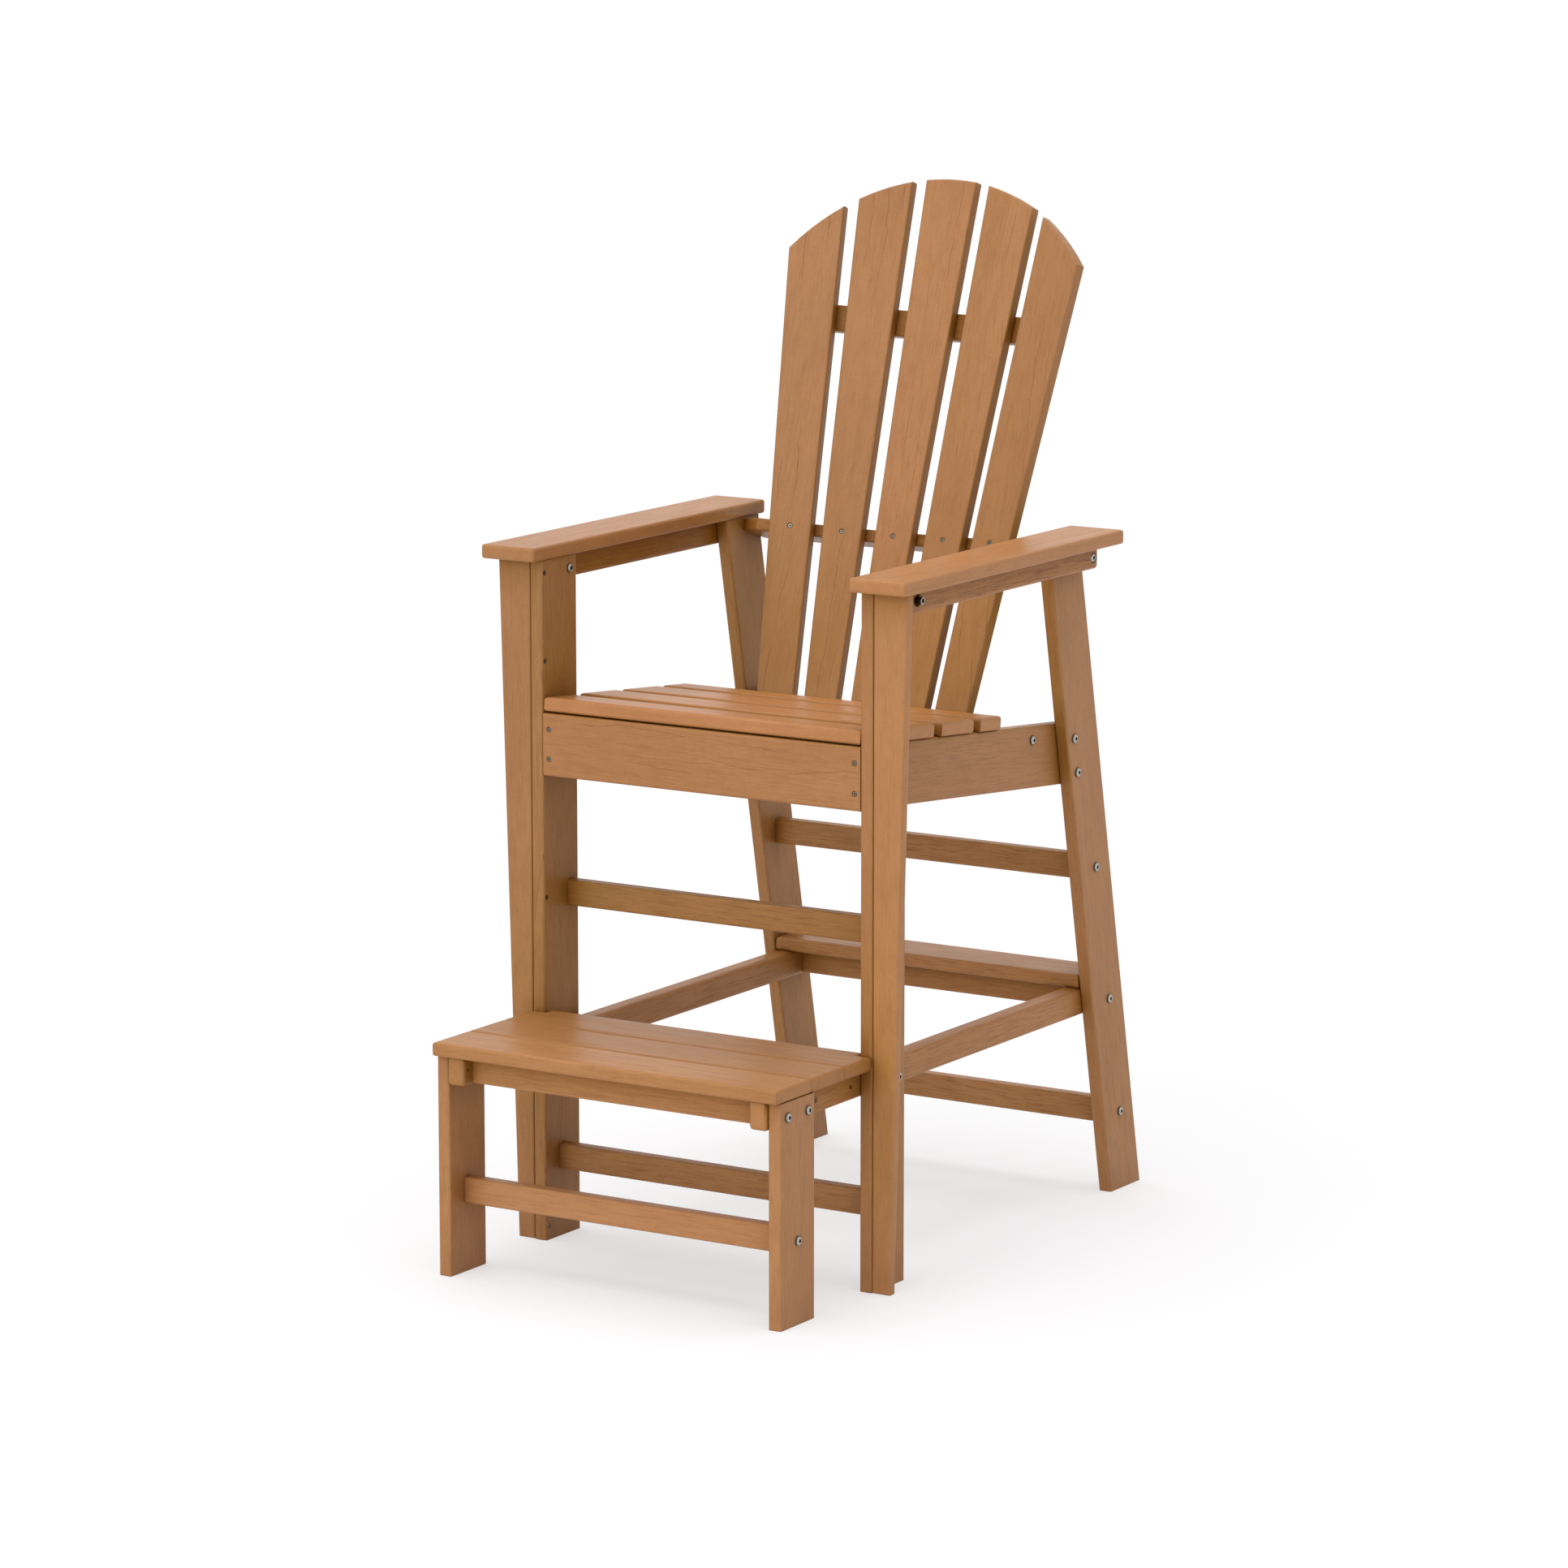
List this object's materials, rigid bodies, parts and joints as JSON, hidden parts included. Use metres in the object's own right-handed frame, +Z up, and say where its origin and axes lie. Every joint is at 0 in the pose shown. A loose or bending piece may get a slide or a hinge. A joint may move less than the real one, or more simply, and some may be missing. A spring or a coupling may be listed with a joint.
{
  "type": "lifeguard chair",
  "caption": "Tall outdoor lifeguard chair of plastic lumber with a fanned slat back, slatted seat, flat arms, a built-in step and a rear ledge.",
  "frame": {"origin": "on the floor, in the middle of the chair's width and of its overall depth", "axes": "+X across the chair, to the right of someone who stands before it and to the sitter's left, so the names say right for +X; -Y the way the sitter looks and the step lies, +Z up"},
  "size_m": [0.7092, 1.0324, 1.5061],
  "materials": {
    "lumber": "matte wood-grain brushed plastic lumber, teak colour",
    "steel": "satin stainless"
  },
  "bodies": {
    "root": {"front_leg_side_right": "lumber", "front_leg_side_left": "lumber", "step_leg_right": "lumber", "step_leg_left": "lumber", "front_leg_face_right": "lumber", "front_leg_face_left": "lumber", "rear_leg_right": "lumber", "rear_leg_left": "lumber", "arm_right": "lumber", "arm_left": "lumber", "arm_rail_right": "lumber", "arm_rail_left": "lumber", "seat_rail_right": "lumber", "seat_rail_left": "lumber", "seat_apron": "lumber", "seat_slat_1": "lumber", "seat_slat_2": "lumber", "seat_slat_3": "lumber", "seat_slat_4": "lumber", "back_slat_1": "lumber", "back_slat_2": "lumber", "back_slat_3": "lumber", "back_slat_4": "lumber", "back_slat_5": "lumber", "back_rail_lower": "lumber", "back_rail_middle": "lumber", "back_rail_upper": "lumber", "front_stretcher_lower": "lumber", "front_stretcher_upper": "lumber", "rear_stretcher_upper": "lumber", "rear_stretcher_lower": "lumber", "step_stretcher": "lumber", "ledge_cross_rail": "lumber", "step_apron": "lumber", "side_rail_right": "lumber", "side_rail_left": "lumber", "ledge_board": "lumber", "step_slat_1": "lumber", "step_slat_2": "lumber", "step_slat_3": "lumber", "bolt_seat_upper_right": "steel", "bolt_seat_upper_left": "steel", "bolt_seat_lower_right": "steel", "bolt_seat_lower_left": "steel", "bolt_stretcher_upper_right": "steel", "bolt_stretcher_upper_left": "steel", "bolt_side_rail_right": "steel", "bolt_side_rail_left": "steel", "bolt_stretcher_lower_right": "steel", "bolt_stretcher_lower_left": "steel", "bolt_back_lower_right": "steel", "bolt_back_lower_left": "steel", "bolt_arm_rear_right": "steel", "bolt_arm_rear_left": "steel", "bolt_arm_front_right": "steel", "bolt_arm_front_left": "steel", "bolt_step_front_right": "steel", "bolt_step_front_left": "steel", "bolt_step_rear_right": "steel", "bolt_step_rear_left": "steel"}
  },
  "joints": []
}
